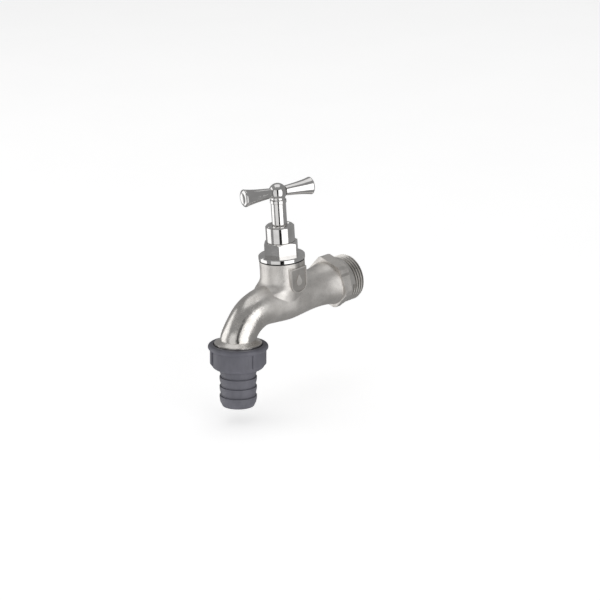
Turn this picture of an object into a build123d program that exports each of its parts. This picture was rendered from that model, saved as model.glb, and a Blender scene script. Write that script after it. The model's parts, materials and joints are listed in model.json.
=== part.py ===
from build123d import *
from math import cos, pi, radians, sin, tan
import os

# A wall-mounted hose bib. Millimetres. The origin is the centre of the inlet thread's
# shoulder plane: +Y runs into the wall, the spout points along -Y, and +Z is up.

# ---- driving dimensions ----
thread_pitch = 1.814          # 14 threads per inch, shared by inlet and outlet
thread_depth = 1.162
thread_flank = 27.5           # half angle of the thread form, degrees
crest_flat = 0.30
inlet_radius = 13.22          # G 3/4 crest radius
inlet_length = 11.5
inlet_plain = 3.2             # unthreaded collar next to the hex
inlet_bore = 8.5
supply_radius = 5.8           # waterway from the inlet to under the seat
supply_z = -2.6
hex_flat_radius = 13.7
hex_round_radius = 15.2
hex_length = 7.2
hex_turn = -12.0              # a corner points up, a little away from the front, degrees
hex_rise = 0.8                # the flange is cast a little above the inlet's axis
hex_low_length = 3.6          # the flange is thinner below, where the body flares into it

stem_y = -39.0                # the headwork's axis
body_radius = 12.0            # round the headwork's axis
body_rise = 0.5               # the cast body's axis over the inlet's
neck_radius = 12.6
neck_top = 23.3
neck_bore = 10.5
seat_z = 6.0
seat_hole = 5.0
chamber_floor = 5.0
chamber_radius = 9.6
plate_half = 5.9              # half the width of the plate on the neck
plate_low = 10.4
plate_high = 20.6
plate_face = 13.15            # the plate's face, from the headwork's axis
plate_rim = 0.75
drop_z = 12.6
drop_radius = 2.1
drop_tip = 4.4

bend_y = -54.0                # where the spout starts to turn down
bend_radius = 23.0
outlet_y = -75.36             # centre of the union nut's top rim
outlet_z = -15.82
outlet_tilt = 5.0             # the outlet leans forward, degrees
spout_radius = 9.7
outlet_radius = 13.15
outlet_length = 7.9
outlet_bore = 8.5
outlet_thread_start = 0.9
spout_bore = 4.3

gasket_height = 0.6
flange_radius = 12.9
flange_height = 2.5
bonnet_hex_flat = 8.75
bonnet_hex_height = 7.6
bonnet_hex_turn = 10.6
spigot_radius = 6.9
spigot_height = 6.2
gland_radius = 8.0
gland_height = 9.2
gland_recess = 6.1

spindle_radius = 4.2
spindle_thread_radius = 5.2
spindle_low = 15.0
spindle_thread_high = 25.6
running_gap = 0.05
fit_gap = 0.03
lift = 6.0

ball_z = 61.8
ball_radius = 5.0
hub_collar_radius = 4.55
hub_bottom = 55.6
arm_reach = 21.0
arm_dome = 0.1
arm_root_radius = 2.75
arm_end_radius = 4.9
arm_turn = -16.0              # the bar's bearing about +Z from +Y, degrees

nut_radius = 14.85
nut_height = 13.8
bead_radius = 16.6
bead_height = 2.9
lobe_height = 0.65
lobe_span = 78.0
lobe_turn = 61.5
lobe_count = 4
nut_thread_gap = 0.18
nut_round = 3.3
lip_height = 2.1
lip_gap = 0.3
seal_height = 2.0

tail_radius = 9.85
barb_radius = 10.3
barb_pitch = 5.35
barb_land = 1.4
barb_count = 3
first_barb = 18.3
tail_bore = 7.8
tail_end = 35.0
tail_flange_radius = 11.9

os.makedirs("parts", exist_ok=True)

# ---- frames derived from them ----
tilt = radians(outlet_tilt)
outlet_dir = Vector(0, -sin(tilt), -cos(tilt))
outlet_origin = Vector(0, outlet_y, outlet_z)
outlet_axis = Axis(outlet_origin, outlet_dir)
# local x is the radius and local y runs along each axis
outlet_section = Plane(outlet_origin, x_dir=(1, 0, 0), z_dir=Vector(1, 0, 0).cross(outlet_dir))
stem_section = Plane((0, stem_y, 0), x_dir=(1, 0, 0), z_dir=(0, -1, 0))
stem_axis = Axis((0, stem_y, 0), (0, 0, 1))
inlet_section = Plane.XY
flange_z = neck_top + gasket_height
hex_z = flange_z + flange_height
gland_z = hex_z + bonnet_hex_height


def stem_plane(height):
    """A level plane across the headwork's axis."""
    return Plane((0, stem_y, height))


def spout_plane(angle):
    """The plane across the spout where its bend has turned by this angle."""
    a = radians(angle)
    centre = (0, bend_y - bend_radius * sin(a), body_rise - bend_radius * (1 - cos(a)))
    return Plane(centre, x_dir=(1, 0, 0), z_dir=(0, -cos(a), -sin(a)))


def barrel_plane(y, rise):
    """An upright plane across the body, facing the spout."""
    return Plane((0, y, rise), x_dir=(1, 0, 0), z_dir=(0, -1, 0))


def turned(points, section, axis):
    """A solid of revolution from (radius, height) points."""
    with BuildPart() as shape:
        with BuildSketch(section):
            with BuildLine():
                Polyline(*points, close=True)
            make_face()
        revolve(axis=axis)
    return shape.part


def ring(inner, outer, low, high, section, axis):
    """A plain ring or washer."""
    return turned([(inner, low), (outer, low), (outer, high), (inner, high)], section, axis)


def helix_groove(radius, root_width, rim_width, depth, start, length, section_plane):
    """A helical groove: root_width at the given radius, rim_width at radius + depth."""
    with BuildPart() as groove:
        with BuildLine():
            turns = Helix(pitch=thread_pitch, height=length, radius=radius)
        with BuildSketch(Plane(turns @ 0, x_dir=(1, 0, 0), z_dir=turns % 0)):
            with BuildLine():
                Polyline(
                    (0, -root_width / 2),
                    (depth, -rim_width / 2),
                    (depth, rim_width / 2),
                    (0, root_width / 2),
                    close=True,
                )
            make_face()
        sweep(path=turns, is_frenet=True)
    placed = section_plane.offset(start)
    return groove.part.moved(placed.location)


def cut_thread(radius, start, length, section_plane):
    """The groove between the ridges of a male thread with this crest radius."""
    proud = 0.12
    root = radius - thread_depth
    rim_width = thread_pitch - crest_flat + 2 * proud * tan(radians(thread_flank))
    root_width = thread_pitch - crest_flat - 2 * thread_depth * tan(radians(thread_flank))
    return helix_groove(root, root_width, rim_width, thread_depth + proud, start, length, section_plane)


# ---- tap body ----
inlet_plane = Plane((0, 0, 0), x_dir=(1, 0, 0), z_dir=(0, 1, 0))
outlet_plane = Plane(outlet_origin, x_dir=(1, 0, 0), z_dir=outlet_dir)
inlet_groove = cut_thread(inlet_radius, inlet_plain, inlet_length - inlet_plain + thread_pitch, inlet_plane)
# the outlet's thread starts at the back
outlet_thread_plane = Plane(outlet_origin, x_dir=-outlet_plane.y_dir, z_dir=outlet_dir)
outlet_groove = cut_thread(outlet_radius, outlet_thread_start, outlet_length + 0.2, outlet_thread_plane)

inlet_chamfer = 0.8
with BuildPart() as inlet_spigot:
    add(turned(
        [(0, -1), (inlet_radius, -1), (inlet_radius, inlet_length - inlet_chamfer),
         (inlet_radius - inlet_chamfer, inlet_length), (0, inlet_length)],
        inlet_section, Axis.Y,
    ))
    add(inlet_groove, mode=Mode.SUBTRACT)

outlet_chamfer = 0.6
shoulder_low, shoulder_knee, shoulder_top, shoulder_rim = -2.7, -1.95, -1.05, -0.8
with BuildPart() as outlet_spigot:
    add(turned(
        [(0, shoulder_low), (spout_radius + 0.1, shoulder_low), (spout_radius + 1.4, shoulder_knee),
         (outlet_radius - 0.25, shoulder_top), (outlet_radius, shoulder_rim),
         (outlet_radius, outlet_length - outlet_chamfer),
         (outlet_radius - outlet_chamfer, outlet_length), (0, outlet_length)],
        outlet_section, outlet_axis,
    ))
    add(outlet_groove, mode=Mode.SUBTRACT)

# hex flange that takes the spanner, with its corners rounded off
with BuildPart() as hex_flange:
    with BuildSketch(Plane((0, -hex_length, hex_rise), x_dir=(1, 0, 0), z_dir=(0, 1, 0))):
        Circle(hex_round_radius)
        RegularPolygon(
            hex_flat_radius, 6, major_radius=False, rotation=hex_turn + 90, mode=Mode.INTERSECT
        )
    extrude(amount=hex_length)
    # its front face leans, because the flange thins towards the bottom
    hex_high, hex_low = hex_rise + hex_round_radius, hex_rise - hex_round_radius
    with BuildSketch(Plane.YZ.offset(-hex_round_radius)):
        Polygon(
            (-hex_length - 1, hex_high), (-hex_length, hex_high), (-hex_low_length, hex_low),
            (-hex_low_length, hex_low - 1), (-hex_length - 1, hex_low - 1), align=None,
        )
    extrude(amount=2 * hex_round_radius, mode=Mode.SUBTRACT)

# (station along the inlet's axis, rise, radius), from the flange to the start of the bend
barrel_stations = (
    (-0.6, -0.1, 13.6),
    (-hex_length, 0.7, 12.3),
    (-10.2, 0.6, 11.7),
    (-14.5, body_rise, body_radius - 0.85),
    (-21, body_rise, body_radius - 1.0),
    (stem_y + 9, body_rise, body_radius - 0.5),
    (stem_y, body_rise, body_radius),
    (stem_y - 8, body_rise, body_radius - 0.6),
)
# (angle round the bend, radius)
spout_stations = ((0, 10.7), (20, 10.1), (40, spout_radius), (58, spout_radius))
# the neck's foot: (height, change of half width, how far it reaches towards the spout)
foot_top = 15.0
foot_stations = (
    (foot_top, 0, 0),
    (13.2, 0, 0.3),
    (11.6, 0, 1.3),
    (10.0, -0.1, 3.6),
    (6.5, -0.45, 6.5),
    (2.0, -1.3, 8.0),
)
with BuildPart() as tap_body:
    # body in one run: flare behind the hex, waist, swell under the headwork, spout
    for station, rise, radius in barrel_stations:
        with BuildSketch(barrel_plane(station, rise)):
            Circle(radius)
    for angle, radius in spout_stations:
        with BuildSketch(spout_plane(angle)):
            Circle(radius)
    with BuildSketch(outlet_plane.offset(-1.2)):
        Circle(spout_radius)
    loft()
    add(hex_flange.part)
    add(inlet_spigot.part)
    # neck under the headwork, spreading forwards into the body
    with BuildSketch(stem_plane(foot_top)):
        Circle(neck_radius)
    extrude(amount=neck_top - foot_top)
    for height, spread, reach in foot_stations:
        with BuildSketch(Plane((0, stem_y - reach / 2, height))):
            Ellipse(neck_radius + spread, neck_radius + reach / 2)
    loft()
    add(outlet_spigot.part)
    # plate on the neck with a tongue-shaped lower end, sunk inside a narrow rim
    plate_back, plate_sink, tongue = 6.0, 0.45, 4.2
    for start, inset, depth, mode in (
        (plate_back, 0, plate_face - plate_back, Mode.ADD),
        (plate_face - plate_sink, plate_rim, 1, Mode.SUBTRACT),
    ):
        side = plate_half - inset
        with BuildSketch(Plane((start, stem_y, 0), x_dir=(0, 1, 0), z_dir=(1, 0, 0))):
            with BuildLine():
                Polyline((-side, plate_low), (-side, plate_high - inset), (side, plate_high - inset),
                         (side, plate_low))
                ThreePointArc((side, plate_low), (0, plate_low - tongue + inset), (-side, plate_low))
            make_face()
        extrude(amount=depth, mode=mode)
    # water drop on the plate
    drop_back = plate_face - plate_sink - 0.15
    with BuildSketch(Plane((drop_back, stem_y, drop_z), x_dir=(0, 1, 0), z_dir=(1, 0, 0))):
        Circle(drop_radius)
        with BuildLine():
            Polyline((-1.85, 1.0), (0, drop_tip), (1.85, 1.0), close=True)
        make_face()
    extrude(amount=0.5)

    # chamber under the headwork, wider at the top for the bonnet's thread
    bore_shoulder = chamber_floor + 3.5
    for low, radius in ((chamber_floor, chamber_radius), (bore_shoulder, neck_bore)):
        with BuildSketch(stem_plane(low)):
            Circle(radius)
        extrude(amount=neck_top - low, mode=Mode.SUBTRACT)
    # raised seat, and the hole down through it
    seat_root = chamber_floor - 0.5
    with BuildSketch(stem_plane(seat_root)):
        Circle(seat_hole + 1.4)
    extrude(amount=seat_z - seat_root)
    with BuildSketch(stem_plane(supply_z)):
        Circle(seat_hole)
    extrude(amount=seat_z - supply_z, mode=Mode.SUBTRACT)
    # way in from the wall: a wide bore at the inlet, then a narrower one to under the seat
    supply_front, inlet_bore_end = stem_y - 5.5, -13
    for start, centre_z, radius, end in (
        (supply_front, supply_z, supply_radius, inlet_bore_end + 1),
        (inlet_bore_end, 0, inlet_bore, inlet_length),
    ):
        with BuildSketch(Plane((0, start, centre_z), x_dir=(1, 0, 0), z_dir=(0, 1, 0))):
            Circle(radius)
        extrude(amount=end - start, mode=Mode.SUBTRACT)
    # way out from the chamber through the spout
    with BuildLine():
        waterway = FilletPolyline(
            (0, stem_y - 8, 6.8),
            (0, stem_y - 12, 5.6),
            tuple(spout_plane(26).origin),
            tuple(spout_plane(52).origin),
            tuple(outlet_origin + outlet_dir * 1.0),
            radius=5,
        )
    with BuildSketch(Plane(waterway @ 0, x_dir=(1, 0, 0), z_dir=waterway % 0)):
        Circle(spout_bore)
    sweep(path=waterway, mode=Mode.SUBTRACT)
    outlet_bore_start = -1.5
    with BuildSketch(outlet_plane.offset(outlet_bore_start)):
        Circle(outlet_bore)
    extrude(amount=outlet_length - outlet_bore_start, mode=Mode.SUBTRACT)
tap_body.part.label = "tap_body"
export_step(tap_body.part, "parts/tap_body.step")

# ---- headwork ----
with BuildPart() as bonnet_gasket:
    add(ring(neck_bore + 0.1, neck_radius + 0.05, neck_top, flange_z, stem_section, stem_axis))
bonnet_gasket.part.label = "bonnet_gasket"
export_step(bonnet_gasket.part, "parts/bonnet_gasket.step")

shank_radius = neck_bore - running_gap
shank_low = seat_z + 10.8      # clears the jumper's disc at full lift
packing_low = 36.2
with BuildPart() as bonnet:
    add(turned(
        [(0, shank_low), (shank_radius, shank_low), (shank_radius, flange_z),
         (flange_radius - 0.25, flange_z), (flange_radius, flange_z + 0.25),
         (flange_radius, hex_z - 0.45), (flange_radius - 0.45, hex_z), (0, hex_z)],
        stem_section, stem_axis,
    ))
    with BuildSketch(stem_plane(hex_z)):
        RegularPolygon(bonnet_hex_flat, 6, major_radius=False, rotation=bonnet_hex_turn)
    extrude(amount=bonnet_hex_height)
    # the hex's corners are turned off at 30 degrees at the top
    hex_top = hex_z + bonnet_hex_height
    hex_corner = bonnet_hex_flat / cos(pi / 6)
    add(turned(
        [(bonnet_hex_flat - 0.2, hex_top + 0.1), (hex_corner + 1, hex_top + 0.1),
         (hex_corner + 1, hex_top - 1.45)],
        stem_section, stem_axis,
    ), mode=Mode.SUBTRACT)
    with BuildSketch(stem_plane(hex_top)):
        Circle(spigot_radius)
    extrude(amount=spigot_height)
    # spindle bore, packing box and the room that the spindle's thread and the jumper rise in
    with BuildSketch(stem_plane(shank_low)):
        Circle(spindle_radius + running_gap)
    extrude(amount=hex_top + spigot_height - shank_low, mode=Mode.SUBTRACT)
    with BuildSketch(stem_plane(packing_low)):
        Circle(spigot_radius - 1.0)
    extrude(amount=hex_top + spigot_height - packing_low, mode=Mode.SUBTRACT)
    with BuildSketch(stem_plane(shank_low)):
        Circle(spindle_thread_radius + running_gap)
    extrude(amount=spindle_thread_high + lift + 0.4 - shank_low, mode=Mode.SUBTRACT)
bonnet.part.label = "bonnet"
export_step(bonnet.part, "parts/bonnet.step")

packing_outer = spigot_radius - 1.0 - fit_gap
packing_inner = spindle_radius + fit_gap
seat_washer_height = 0.6
packing_height = 1.55
follower_height = 1.0
packing_stack = (
    ("packing_seat_washer", packing_low, seat_washer_height),
    ("packing_ring_lower", packing_low + seat_washer_height, packing_height),
    ("packing_ring_upper", packing_low + seat_washer_height + packing_height, packing_height),
    ("gland_follower", packing_low + seat_washer_height + 2 * packing_height, follower_height),
)
for piece_name, low, height in packing_stack:
    with BuildPart() as packing_piece:
        add(ring(packing_inner, packing_outer, low, low + height, stem_section, stem_axis))
    packing_piece.part.label = piece_name
    export_step(packing_piece.part, f"parts/{piece_name}.step")
follower_top = packing_stack[-1][1] + follower_height

with BuildPart() as gland_nut:
    gland_top = gland_z + gland_height
    add(turned(
        [(spigot_radius + running_gap, gland_z), (gland_radius - 0.3, gland_z), (gland_radius, gland_z + 0.3),
         (gland_radius, gland_top - 0.7), (gland_radius - 0.7, gland_top), (gland_recess, gland_top),
         (gland_recess - 0.5, gland_top - 0.6), (spindle_radius + running_gap, gland_top - 0.6),
         (spindle_radius + running_gap, follower_top), (spigot_radius + running_gap, follower_top)],
        stem_section, stem_axis,
    ))
gland_nut.part.label = "gland_nut"
export_step(gland_nut.part, "parts/gland_nut.step")

# ---- spindle and handle ----
tenon_half = 2.4
tenon_top = ball_z + 1.5
stalk_radius = 2.0
stalk_top = spindle_low + 8.0
with BuildPart() as spindle:
    add(turned(
        [(0, spindle_low), (spindle_thread_radius - 0.4, spindle_low),
         (spindle_thread_radius, spindle_low + 0.4), (spindle_thread_radius, spindle_thread_high - 0.6),
         (spindle_radius, spindle_thread_high), (spindle_radius, hub_bottom), (0, hub_bottom)],
        stem_section, stem_axis,
    ))
    with BuildSketch(stem_plane(hub_bottom)):
        Rectangle(2 * tenon_half, 2 * tenon_half)
    extrude(amount=tenon_top - hub_bottom)
    with BuildSketch(stem_plane(spindle_low)):
        Circle(stalk_radius + running_gap)
    extrude(amount=stalk_top - spindle_low + 0.5, mode=Mode.SUBTRACT)
spindle.part.label = "spindle"
export_step(spindle.part, "parts/spindle.step")

with BuildPart() as handle_hub:
    with BuildSketch(stem_section):
        with Locations((0, ball_z)):
            Circle(ball_radius)
            Rectangle(2 * ball_radius, 2 * ball_radius, align=(Align.MAX, Align.CENTER), mode=Mode.SUBTRACT)
    revolve(axis=stem_axis)
    add(turned(
        [(0, hub_bottom), (hub_collar_radius - 0.3, hub_bottom), (hub_collar_radius, hub_bottom + 0.3),
         (hub_collar_radius, hub_bottom + 1.9), (hub_collar_radius - 0.5, hub_bottom + 2.4),
         (hub_collar_radius - 0.5, ball_z), (0, ball_z)],
        stem_section, stem_axis,
    ))
    with BuildSketch(stem_plane(hub_bottom)):
        Rectangle(2 * tenon_half, 2 * tenon_half)
    extrude(amount=tenon_top - hub_bottom, mode=Mode.SUBTRACT)
    # sockets for the two arms
    socket_radius = 1.6
    socket_start = 3.4
    for side in (0, 180):
        bearing = radians(90 + arm_turn + side)
        arm_dir = Vector(cos(bearing), sin(bearing), 0)
        with BuildSketch(Plane(Vector(0, stem_y, ball_z) + arm_dir * socket_start, z_dir=arm_dir)):
            Circle(socket_radius)
        extrude(amount=ball_radius, mode=Mode.SUBTRACT)
handle_hub.part.label = "handle_hub"
export_step(handle_hub.part, "parts/handle_hub.step")

shoulder_start = 4.55
for piece_name, side in (("handle_arm_far", 0), ("handle_arm_near", 180)):
    bearing = radians(90 + arm_turn + side)
    arm_dir = Vector(cos(bearing), sin(bearing), 0)
    arm_origin = Vector(0, stem_y, ball_z)
    arm_section = Plane(arm_origin, x_dir=(0, 0, 1), z_dir=Vector(0, 0, 1).cross(arm_dir))
    with BuildPart() as handle_arm:
        with BuildSketch(arm_section):
            with BuildLine():
                Polyline((0, socket_start + 0.1), (socket_radius, socket_start + 0.1),
                         (socket_radius, shoulder_start), (arm_root_radius, shoulder_start))
                Spline((arm_root_radius, shoulder_start), (3.35, 10.5),
                       (arm_end_radius - 0.35, arm_reach - 2.4), (arm_end_radius, arm_reach - 0.9))
                Spline((arm_end_radius, arm_reach - 0.9), (arm_end_radius - 0.45, arm_reach - 0.2),
                       (0, arm_reach + arm_dome), tangents=((-0.1, 1), (-1, 0)))
                Line((0, arm_reach + arm_dome), (0, socket_start + 0.1))
            make_face()
        revolve(axis=Axis(arm_origin, arm_dir))
        # the root is hollowed to sit on the ball
        with Locations(Location(arm_origin)):
            Sphere(ball_radius, mode=Mode.SUBTRACT)
        with BuildSketch(Plane(arm_origin + arm_dir * (socket_start + 0.1), z_dir=arm_dir)):
            Circle(socket_radius)
        extrude(amount=ball_radius - socket_start + 0.6)
    handle_arm.part.label = piece_name
    export_step(handle_arm.part, f"parts/{piece_name}.step")

# ---- jumper valve, which the spindle lifts off the seat ----
washer_height = 2.4
washer_radius = 7.4
stud_radius = 1.5
jumper_low = seat_z + washer_height
jumper_disc = 1.8
stud_low = seat_z - 2.6
disc_radius = washer_radius + 0.5
boss_radius = 4.0
plate_height = 0.5
washer_nut_height = 1.8
with BuildPart() as jumper_valve:
    add(turned(
        [(0, stud_low), (stud_radius, stud_low), (stud_radius, jumper_low),
         (disc_radius, jumper_low), (disc_radius, jumper_low + jumper_disc),
         (boss_radius, jumper_low + jumper_disc), (boss_radius, spindle_low), (stalk_radius, spindle_low),
         (stalk_radius, stalk_top), (0, stalk_top)],
        stem_section, stem_axis,
    ))
jumper_valve.part.label = "jumper_valve"
export_step(jumper_valve.part, "parts/jumper_valve.step")

with BuildPart() as seat_washer:
    add(ring(stud_radius + fit_gap, washer_radius, seat_z, jumper_low, stem_section, stem_axis))
seat_washer.part.label = "seat_washer"
export_step(seat_washer.part, "parts/seat_washer.step")

with BuildPart() as washer_plate:
    add(ring(stud_radius + fit_gap, 3.4, seat_z - plate_height, seat_z, stem_section, stem_axis))
washer_plate.part.label = "washer_plate"
export_step(washer_plate.part, "parts/washer_plate.step")

with BuildPart() as washer_nut:
    with BuildSketch(stem_plane(seat_z - plate_height - washer_nut_height)):
        RegularPolygon(2.75, 6, major_radius=False)
        Circle(stud_radius + fit_gap, mode=Mode.SUBTRACT)
    extrude(amount=washer_nut_height)
washer_nut.part.label = "washer_nut"
export_step(washer_nut.part, "parts/washer_nut.step")

# ---- outlet: seal, hose tail and the nut that clamps them ----
seal_low = outlet_length
flange_low = seal_low + seal_height
lip_low = nut_height - lip_height
with BuildPart() as tail_seal:
    add(ring(outlet_bore + 0.1, tail_flange_radius - 0.4, seal_low, flange_low, outlet_section, outlet_axis))
tail_seal.part.label = "tail_seal"
export_step(tail_seal.part, "parts/tail_seal.step")

groove_radius = tail_radius - 0.25
tail_profile = [(tail_bore, flange_low), (tail_flange_radius, flange_low), (tail_flange_radius, lip_low),
                (barb_radius, lip_low), (barb_radius, nut_height + 1.2)]
for barb in range(barb_count):
    top = first_barb + barb * barb_pitch
    tail_profile += [(groove_radius, top - 0.35), (groove_radius, top), (barb_radius, top + 0.1),
                     (barb_radius, top + 0.1 + barb_land)]
tail_profile += [(barb_radius - 0.35, tail_end - 2.4), (tail_bore + 1.0, tail_end), (tail_bore, tail_end)]
with BuildPart() as hose_tail:
    add(turned(tail_profile, outlet_section, outlet_axis))
hose_tail.part.label = "hose_tail"
export_step(hose_tail.part, "parts/hose_tail.step")

# the nut's groove is the spout's ridge with clearance all round
nut_bore = outlet_radius - thread_depth + 0.29
groove_rim = crest_flat + 2 * nut_thread_gap - 2 * 0.2 * tan(radians(thread_flank))
groove_top = outlet_radius + 0.2
groove_bottom = nut_bore - 0.1
groove_depth = groove_top - groove_bottom
groove_root = groove_rim + 2 * groove_depth * tan(radians(thread_flank))
# half a pitch along from the spout's groove, the nut's groove lies on the spout's ridge
ridge_start = outlet_thread_start + thread_pitch / 2
nut_groove_length = 10.4
nut_groove = helix_groove(
    groove_bottom, groove_root, groove_rim, groove_depth, ridge_start - thread_pitch,
    nut_groove_length, outlet_thread_plane,
)
opening_radius = 13.65
bead_root = bead_radius - 0.9
opening_depth = 1.1
with BuildPart() as union_nut:
    with BuildSketch(outlet_section):
        with BuildLine():
            Polyline((opening_radius, 0), (bead_root, 0))
            ThreePointArc((bead_root, 0), (bead_radius, bead_height / 2), (bead_root, bead_height))
            Polyline((bead_root, bead_height), (nut_radius, bead_height + 0.3),
                     (nut_radius, nut_height - nut_round))
            foot_middle = nut_round * (1 - cos(pi / 4))
            ThreePointArc((nut_radius, nut_height - nut_round),
                          (nut_radius - foot_middle, nut_height - foot_middle),
                          (nut_radius - nut_round, nut_height))
            Polyline(
                (nut_radius - nut_round, nut_height), (barb_radius + lip_gap, nut_height),
                (barb_radius + lip_gap, lip_low), (nut_bore, lip_low), (nut_bore, opening_depth + 1.2),
                (opening_radius, opening_depth), (opening_radius, 0),
            )
        make_face()
    revolve(axis=outlet_axis)
    # raised lobes for the fingers
    lobe_low, lobe_high = bead_height - 0.5, nut_height - 2.9
    for lobe in range(lobe_count):
        angle = lobe_turn + lobe * 360 / lobe_count
        half = lobe_span / 2
        inner, outer = nut_radius - 1.2, nut_radius + lobe_height
        a0, a1, am = radians(angle - half), radians(angle + half), radians(angle)
        with BuildSketch(outlet_plane.offset(lobe_low)):
            with BuildLine():
                Line((inner * cos(a0), inner * sin(a0)), (outer * cos(a0), outer * sin(a0)))
                ThreePointArc((outer * cos(a0), outer * sin(a0)), (outer * cos(am), outer * sin(am)),
                              (outer * cos(a1), outer * sin(a1)))
                Line((outer * cos(a1), outer * sin(a1)), (inner * cos(a1), inner * sin(a1)))
                ThreePointArc((inner * cos(a1), inner * sin(a1)), (inner * cos(am), inner * sin(am)),
                              (inner * cos(a0), inner * sin(a0)))
            make_face()
        extrude(amount=lobe_high - lobe_low)
    # the lobes' lower ends follow the nut's rounded foot
    add(turned(
        [(nut_radius - 0.6, nut_height - 1.4), (nut_radius + 2, nut_height - 5.0),
         (nut_radius + 2, nut_height)],
        outlet_section, outlet_axis,
    ), mode=Mode.SUBTRACT)
    add(nut_groove, mode=Mode.SUBTRACT)
union_nut.part.label = "union_nut"
export_step(union_nut.part, "parts/union_nut.step")
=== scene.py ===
import json
from math import cos, pi, radians, sin

import bpy
from mathutils import Matrix, Vector


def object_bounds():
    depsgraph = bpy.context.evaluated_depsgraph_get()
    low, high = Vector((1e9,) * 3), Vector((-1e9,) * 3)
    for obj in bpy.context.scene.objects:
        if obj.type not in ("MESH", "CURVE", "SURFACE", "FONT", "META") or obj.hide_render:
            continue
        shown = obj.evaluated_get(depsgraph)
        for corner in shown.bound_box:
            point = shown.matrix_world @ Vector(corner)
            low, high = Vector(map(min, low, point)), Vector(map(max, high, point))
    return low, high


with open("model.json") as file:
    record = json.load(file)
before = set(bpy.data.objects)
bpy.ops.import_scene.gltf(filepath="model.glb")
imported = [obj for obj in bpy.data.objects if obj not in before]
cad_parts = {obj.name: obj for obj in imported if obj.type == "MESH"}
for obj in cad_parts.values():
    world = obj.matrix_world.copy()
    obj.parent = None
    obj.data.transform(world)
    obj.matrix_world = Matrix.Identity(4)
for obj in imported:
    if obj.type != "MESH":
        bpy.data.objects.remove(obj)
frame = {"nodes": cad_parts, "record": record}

cad_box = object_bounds()
nodes = frame["nodes"]
MM = 0.001

# ---- camera: where it stands, and the point it looks at ----
CAMERA_AZIMUTH = radians(47.0)
CAMERA_ELEVATION = radians(18.5)
CAMERA_ROLL = radians(3.5)
CAMERA_DISTANCE = 1.110
CAMERA_LENS = 120.0
CAMERA_SENSOR = 36.0
AIM = Vector((7.5, -34.2, -0.4)) * MM

# ---- places on the cast body that its material follows ----
PLATE_SUNK = 12.7 * MM
HEX_END = 0.3 * MM
COLLAR_START = 0.9 * MM
THREAD_ROOT = 12.25 * MM
THREAD_CREST = 12.95 * MM
BORE_INSIDE = 9.0 * MM
BORE_EDGE = 11.8 * MM
SPOUT_POLISH_START = -54 * MM
SPOUT_POLISH_END = -68 * MM


# ---- node helpers ----
class Shader:
    """A material's node tree, with short calls for the nodes used here."""

    def __init__(self, name):
        self.material = bpy.data.materials.new(name)
        self.material.use_nodes = True
        self.tree = self.material.node_tree
        self.principled = self.tree.nodes["Principled BSDF"]
        coords = self.tree.nodes.new("ShaderNodeTexCoord")
        self.place = coords.outputs["Object"]

    def node(self, kind, **settings):
        made = self.tree.nodes.new(kind)
        for key, value in settings.items():
            setattr(made, key, value)
        return made

    def link(self, source, target):
        self.tree.links.new(source, target)

    def set(self, **values):
        """Uniform values, set on the shader's own sockets."""
        for key, value in values.items():
            self.principled.inputs[key.replace("_", " ")].default_value = value

    def noise(self, size_mm, detail=3.0, roughness=0.5, stretch=(1, 1, 1), distortion=0.0):
        """Noise whose features are about size_mm across, stretched along the axes."""
        mapping = self.node("ShaderNodeMapping")
        mapping.inputs["Scale"].default_value = stretch
        self.link(self.place, mapping.inputs["Vector"])
        noise = self.node("ShaderNodeTexNoise")
        noise.inputs["Scale"].default_value = 1.0 / (size_mm * MM)
        noise.inputs["Detail"].default_value = detail
        noise.inputs["Roughness"].default_value = roughness
        noise.inputs["Distortion"].default_value = distortion
        self.link(mapping.outputs["Vector"], noise.inputs["Vector"])
        return noise.outputs["Fac"]

    def spread(self, value, low, high, to_low, to_high):
        """value between low and high, mapped smoothly to another range."""
        mapped = self.node("ShaderNodeMapRange", interpolation_type="SMOOTHSTEP")
        for key, number in (("From Min", low), ("From Max", high), ("To Min", to_low), ("To Max", to_high)):
            mapped.inputs[key].default_value = number
        self.link(value, mapped.inputs["Value"])
        return mapped.outputs["Result"]

    def math(self, operation, a, b=None):
        made = self.node("ShaderNodeMath", operation=operation)
        for i, value in enumerate((a, b)):
            if value is None:
                continue
            if isinstance(value, (int, float)):
                made.inputs[i].default_value = value
            else:
                self.link(value, made.inputs[i])
        return made.outputs[0]

    def blend(self, factor, a, b):
        """Colour a where factor is 0 and b where it is 1."""
        mix = self.node("ShaderNodeMix", data_type="RGBA")
        self.link(factor, mix.inputs[0])
        for socket, colour in ((mix.inputs[6], a), (mix.inputs[7], b)):
            if isinstance(colour, tuple):
                socket.default_value = (*colour, 1.0)
            else:
                self.link(colour, socket)
        return mix.outputs[2]

    def bump(self, height, depth_mm, under=None):
        made = self.node("ShaderNodeBump")
        made.inputs["Strength"].default_value = 1.0
        made.inputs["Distance"].default_value = depth_mm * MM
        self.link(height, made.inputs["Height"])
        if under is not None:
            self.link(under, made.inputs["Normal"])
        return made.outputs["Normal"]

    def finish(self, colour=None, roughness=None, normal=None):
        for key, value in (("Base Color", colour), ("Roughness", roughness), ("Normal", normal)):
            if value is not None:
                self.link(value, self.principled.inputs[key])
        return self.material

    def axes(self):
        split = self.node("ShaderNodeSeparateXYZ")
        self.link(self.place, split.inputs[0])
        return split.outputs


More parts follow.
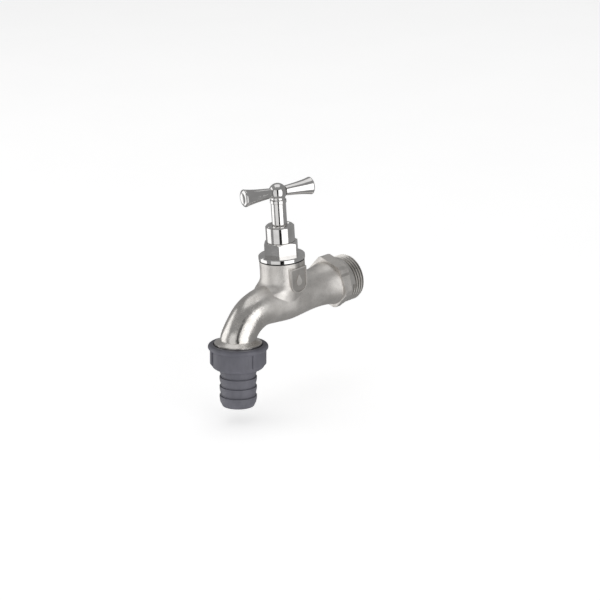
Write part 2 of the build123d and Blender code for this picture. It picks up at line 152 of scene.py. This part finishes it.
# ---- materials ----
def cast_nickel():
    """Satin plate over a cast body, with bright machined threads; painted shade darkens the thread roots, the
    bore and the plate's recessed face.
    """
    s = Shader("cast_nickel")
    s.set(Metallic=1.0)
    x, y, z = s.axes()
    cloud = s.noise(9.0, detail=4, roughness=0.6)
    grain = s.noise(0.55, detail=4, roughness=0.62)
    pits = s.noise(1.7, detail=2, roughness=0.5)
    cast = s.blend(s.spread(cloud, 0.35, 0.68, 0, 1), (0.69, 0.665, 0.635), (0.80, 0.775, 0.745))
    cast = s.blend(s.spread(grain, 0.30, 0.52, 0.42, 0.0), cast, (0.42, 0.40, 0.375))
    # painted shade: the plate's recessed face is painted darker than its rim and its water drop, and more so
    # higher up
    painted_recess_shade = s.math("MULTIPLY", s.spread(x, PLATE_SUNK - 0.3 * MM, PLATE_SUNK - 0.1 * MM, 0, 1),
                  s.spread(x, PLATE_SUNK + 0.05 * MM, PLATE_SUNK + 0.2 * MM, 1, 0))
    painted_recess_shade = s.math("MULTIPLY", painted_recess_shade, s.spread(z, 0, 2 * MM, 0, 0.55))
    cast = s.blend(painted_recess_shade, cast, (0.30, 0.285, 0.27))
    # the inlet thread, beyond the hex
    radius = s.math("SQRT", s.math("ADD", s.math("MULTIPLY", x, x), s.math("MULTIPLY", z, z)))
    machined = s.spread(y, HEX_END, COLLAR_START, 0, 1)
    # painted shade: beyond the hex, everything inside the thread's crest radius is painted darker to shade
    # the thread roots, the flat end face included
    painted_root_shade = s.math("MULTIPLY", s.spread(radius, THREAD_ROOT, THREAD_CREST, 1, 0), machined)
    colour = s.blend(machined, cast, (0.70, 0.68, 0.65))
    # painted shade: the inside of the bore, beyond the hex, is painted darker
    painted_bore_shade = s.math("MULTIPLY", s.spread(radius, BORE_INSIDE, BORE_EDGE, 1, 0), machined)
    colour = s.blend(s.math("MULTIPLY", painted_root_shade, 0.82), colour, (0.10, 0.095, 0.09))
    colour = s.blend(s.math("MULTIPLY", painted_bore_shade, 0.6), colour, (0.30, 0.28, 0.25))
    rough = s.spread(s.noise(4.0, detail=3), 0.3, 0.7, 0.40, 0.50)
    rough = s.math("SUBTRACT", rough, s.math("MULTIPLY", machined, 0.14))
    rough = s.math("SUBTRACT", rough, s.spread(y, SPOUT_POLISH_END, SPOUT_POLISH_START, 0.22, 0.0))
    normal = s.bump(s.noise(6.0, detail=2), 0.10)
    normal = s.bump(pits, 0.035, normal)
    normal = s.bump(grain, 0.030, normal)
    return s.finish(colour, rough, normal)


def polished_chrome():
    """Mirror plate with a faint ripple and fine handling scratches."""
    s = Shader("polished_chrome")
    s.set(Metallic=1.0)
    haze = s.noise(5.0, detail=3)
    colour = s.blend(s.spread(haze, 0.3, 0.7, 0, 1), (0.70, 0.69, 0.68), (0.80, 0.79, 0.78))
    scratches = s.noise(0.9, detail=2, stretch=(1, 1, 14), distortion=0.4)
    rough = s.math("ADD", s.spread(haze, 0.35, 0.75, 0.055, 0.12), s.spread(scratches, 0.58, 0.72, 0.0, 0.10))
    normal = s.bump(s.noise(3.0, detail=1), 0.012)
    normal = s.bump(scratches, 0.0015, normal)
    return s.finish(colour, rough, normal)


def dark_plastic():
    """Moulded satin plastic, slightly blue, with a fine spark-eroded grain."""
    s = Shader("dark_plastic")
    s.set(Metallic=0.0, Specular_IOR_Level=0.45)
    flow = s.noise(7.0, detail=3, stretch=(1, 1, 0.5))
    grain = s.noise(0.35, detail=3, roughness=0.6)
    colour = s.blend(s.spread(flow, 0.3, 0.7, 0, 1), (0.098, 0.098, 0.116), (0.128, 0.127, 0.150))
    colour = s.blend(s.spread(grain, 0.55, 0.75, 0, 0.35), colour, (0.17, 0.17, 0.19))
    rough = s.spread(grain, 0.3, 0.7, 0.40, 0.54)
    normal = s.bump(s.noise(5.0, detail=2), 0.05)
    normal = s.bump(grain, 0.014, normal)
    return s.finish(colour, rough, normal)


def black_fibre():
    """Compressed fibre or rubber, matt and dark."""
    s = Shader("black_fibre")
    s.set(Metallic=0.0, Specular_IOR_Level=0.3)
    fibre = s.noise(0.4, detail=4, roughness=0.7)
    colour = s.blend(s.spread(fibre, 0.35, 0.7, 0, 1), (0.008, 0.008, 0.008), (0.030, 0.029, 0.028))
    return s.finish(colour, s.spread(fibre, 0.3, 0.7, 0.6, 0.85), s.bump(fibre, 0.03))


def machined_brass():
    """Turned brass with fine tool marks round its axis."""
    s = Shader("machined_brass")
    s.set(Metallic=1.0)
    marks = s.noise(0.25, detail=2, stretch=(0.05, 0.05, 1))
    tarnish = s.noise(2.5, detail=4)
    colour = s.blend(s.spread(tarnish, 0.35, 0.7, 0, 1), (0.66, 0.47, 0.20), (0.45, 0.30, 0.13))
    return s.finish(colour, s.spread(tarnish, 0.3, 0.7, 0.22, 0.40), s.bump(marks, 0.01))


def graphite_packing():
    """Greased graphite cord, with its braid as a fine weave."""
    s = Shader("graphite_packing")
    s.set(Metallic=0.0, Specular_IOR_Level=0.5)
    weave = s.noise(0.5, detail=2, stretch=(1, 1, 2))
    colour = s.blend(s.spread(weave, 0.35, 0.65, 0, 1), (0.10, 0.095, 0.085), (0.30, 0.28, 0.24))
    return s.finish(colour, s.spread(weave, 0.3, 0.7, 0.35, 0.6), s.bump(weave, 0.08))


FINISH = {
    "cast_nickel": cast_nickel(),
    "polished_chrome": polished_chrome(),
    "dark_plastic": dark_plastic(),
    "black_fibre": black_fibre(),
    "rubber": black_fibre(),
    "brass": machined_brass(),
    "packing": graphite_packing(),
}

for entry in frame["record"]["subparts"]:
    part = nodes[entry["node"]]
    part.data.materials.clear()
    part.data.materials.append(FINISH[entry["material_slot"]])


# ---- studio ----
def facing(location, target):
    """A rotation that points a light's -Z from location to target."""
    return (target - location).to_track_quat("-Z", "Y")


def stage_material(name, colour, glow):
    s = Shader(name)
    s.set(Roughness=0.9, Specular_IOR_Level=0.1, Emission_Strength=glow)
    s.principled.inputs["Emission Color"].default_value = (*colour, 1)
    tint = s.noise(80.0, detail=2)
    return s.finish(s.blend(s.spread(tint, 0.3, 0.7, 0, 1), colour, tuple(0.985 * c for c in colour)))


def sheet_object(name, corners, material):
    mesh = bpy.data.meshes.new(name)
    mesh.from_pydata(corners, [], [(0, 1, 2, 3)])
    mesh.materials.append(material)
    made = bpy.data.objects.new(name, mesh)
    bpy.context.scene.collection.objects.link(made)
    return made


# the hose tail comes down 7.2 mm with the union nut, and still clears the floor
FLOOR_DROP = 8 * MM
floor_z = cad_box[0][2] - FLOOR_DROP
toward_camera = Vector((sin(CAMERA_AZIMUTH), -cos(CAMERA_AZIMUTH), 0))
to_right = Vector((cos(CAMERA_AZIMUTH), sin(CAMERA_AZIMUTH), 0))
STAGE_HALF, STAGE_BACK = 6.0, 3.0
white = stage_material("stage_white", (0.94, 0.94, 0.94), 0.55)
back_left = -toward_camera * STAGE_BACK - to_right * STAGE_HALF
back_right = -toward_camera * STAGE_BACK + to_right * STAGE_HALF
front_left = toward_camera * STAGE_HALF - to_right * STAGE_HALF
front_right = toward_camera * STAGE_HALF + to_right * STAGE_HALF
at_floor = Vector((0, 0, floor_z))
floor = sheet_object(
    "floor",
    [tuple(p + at_floor) for p in (front_left, front_right, back_right, back_left)],
    white,
)
# the metal mirrors the softboxes and not the floor, which would wash it out
floor.visible_glossy = False
floor.visible_shadow = False


def softbox(name, azimuth_from_camera, elevation, width, height, radiance, distance=1.5):
    """A rectangular light that faces the object, placed round from the camera's side."""
    angle = CAMERA_AZIMUTH + radians(azimuth_from_camera)
    lift = radians(elevation)
    direction = Vector((sin(angle) * cos(lift), -cos(angle) * cos(lift), sin(lift)))
    data = bpy.data.lights.new(name, "AREA")
    data.shape = "RECTANGLE"
    data.size, data.size_y = width, height
    data.energy = radiance * pi * width * height
    light = bpy.data.objects.new(name, data)
    light.location = AIM + direction * distance
    light.rotation_mode = "QUATERNION"
    light.rotation_quaternion = facing(light.location, AIM)
    bpy.context.scene.collection.objects.link(light)


# a bright box to the right of the camera, a dimmer one to its left with a dark gap between
# them, one far round to the left, and one overhead
softbox("softbox_right", 37, -4, 1.40, 2.6, 1.30)
softbox("softbox_left", -33, -4, 1.25, 2.6, 0.55)
softbox("softbox_far_left", -103, 0, 1.30, 2.2, 1.05)
softbox("overhead", 180, 78, 1.3, 1.3, 0.62)

# a black card between the two front boxes, which shows only in reflections
CARD_DISTANCE, CARD_HALF_WIDTH, CARD_HALF_HEIGHT = 1.4, 0.19, 1.3
card_middle = toward_camera * CARD_DISTANCE
card = sheet_object(
    "dark_card",
    [tuple(card_middle + to_right * side * CARD_HALF_WIDTH + Vector((0, 0, lift * CARD_HALF_HEIGHT)))
     for side, lift in ((-1, -1), (1, -1), (1, 1), (-1, 1))],
    stage_material("card_black", (0.01, 0.01, 0.01), 0.0),
)
card.visible_camera = False
card.visible_diffuse = False
card.visible_shadow = False

WORLD_LIGHT = 0.30
world = bpy.data.worlds.new("studio")
world.use_nodes = True
background = world.node_tree.nodes["Background"]
background.inputs["Color"].default_value = (1, 1, 1, 1)
background.inputs["Strength"].default_value = WORLD_LIGHT
scene = bpy.context.scene
scene.world = world
scene.view_settings.view_transform = "Standard"

camera_data = bpy.data.cameras.new("camera")
camera_data.lens = CAMERA_LENS
camera_data.sensor_width = CAMERA_SENSOR
camera_data.clip_end = 50
camera = bpy.data.objects.new("camera", camera_data)
scene.collection.objects.link(camera)
back = toward_camera * cos(CAMERA_ELEVATION) + Vector((0, 0, sin(CAMERA_ELEVATION)))
level_up = back.cross(to_right)
right = to_right * cos(CAMERA_ROLL) - level_up * sin(CAMERA_ROLL)
up = to_right * sin(CAMERA_ROLL) + level_up * cos(CAMERA_ROLL)
stand = AIM + back * CAMERA_DISTANCE
camera.matrix_world = Matrix((
    (right.x, up.x, back.x, stand.x),
    (right.y, up.y, back.y, stand.y),
    (right.z, up.z, back.z, stand.z),
    (0, 0, 0, 1),
))
scene.camera = camera
